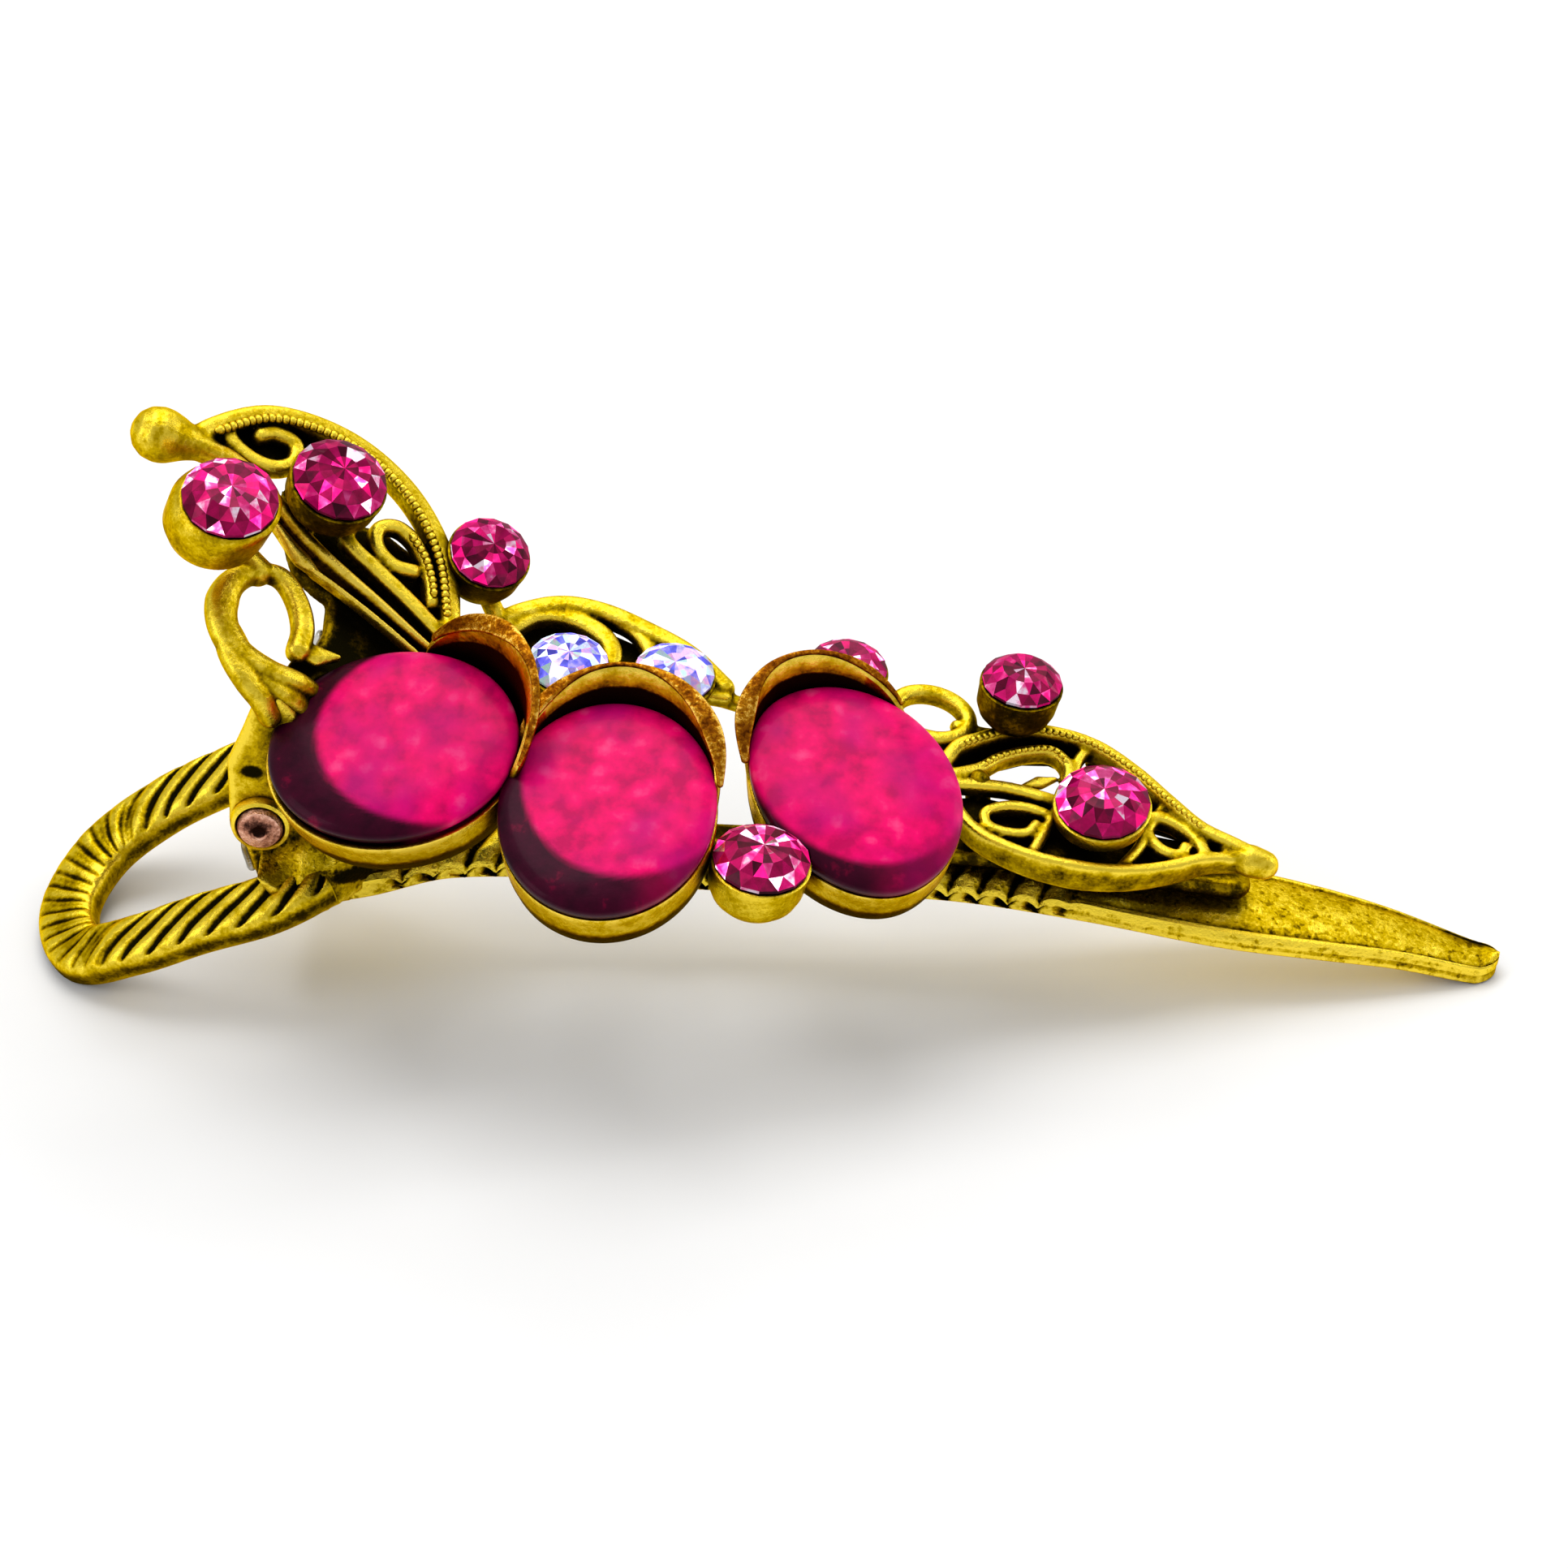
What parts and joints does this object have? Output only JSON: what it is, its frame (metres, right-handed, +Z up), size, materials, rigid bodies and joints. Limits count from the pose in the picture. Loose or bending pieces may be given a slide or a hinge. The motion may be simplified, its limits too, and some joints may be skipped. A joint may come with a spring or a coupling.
{
  "type": "hair clip",
  "caption": "Antique-gold beak hair clip with a finger loop and a sprung upper jaw that carries a flower of oval cabochons, round stones and filigree leaves.",
  "frame": {"origin": "centre of the bounding box in X and Y, on the surface the clip lies on", "axes": "+X from the finger loop to the jaw tip, +Y from the oval petals to the far leaves, +Z up"},
  "size_m": [0.0736, 0.0248, 0.0284],
  "materials": {
    "antique_gold": "antiqued cast metal, dark in the recesses",
    "copper_gold": "antiqued stamped metal with a coppery rim",
    "copper_rivet": "worn copper",
    "spring_steel": "drawn wire",
    "magenta_glass": "polished, foil backed",
    "pink_glass": "faceted, foil backed",
    "aurora_glass": "faceted, iridescent, foil backed"
  },
  "bodies": {
    "lower": {"lower_jaw": "antique_gold", "finger_loop": "antique_gold", "hinge_pin": "copper_rivet", "torsion_spring": "spring_steel"},
    "upper": {"upper_jaw_frame": "antique_gold", "lever_leaf": "antique_gold", "lever_side_loop": "antique_gold", "middle_wing": "antique_gold", "side_ring": "antique_gold", "front_leaf": "antique_gold", "petal_cup_1": "copper_gold", "cabochon_1": "magenta_glass", "petal_cup_2": "copper_gold", "cabochon_2": "magenta_glass", "petal_cup_3": "copper_gold", "cabochon_3": "magenta_glass", "pink_chaton_1_cup": "antique_gold", "pink_chaton_1": "pink_glass", "pink_chaton_2_cup": "antique_gold", "pink_chaton_2": "pink_glass", "pink_chaton_3_cup": "antique_gold", "pink_chaton_3": "pink_glass", "pink_chaton_4_cup": "antique_gold", "pink_chaton_4": "pink_glass", "pink_chaton_5_cup": "antique_gold", "pink_chaton_5": "pink_glass", "pink_chaton_6_cup": "antique_gold", "pink_chaton_6": "pink_glass", "pink_chaton_7_cup": "antique_gold", "pink_chaton_7": "pink_glass", "ab_chaton_1_cup": "antique_gold", "ab_chaton_1": "aurora_glass", "ab_chaton_2_cup": "antique_gold", "ab_chaton_2": "aurora_glass"}
  },
  "joints": [
    {"name": "jaw_hinge", "type": "hinge", "parent": "lower", "child": "upper", "pos_m": [-0.02433, 0.00299, 0.0109], "axis": [0, -1, 0], "range_deg": [0, 30], "stiffness_Nm_per_rad": 0.1, "springref_deg": -22.92, "deforming": ["torsion_spring"]}
  ]
}
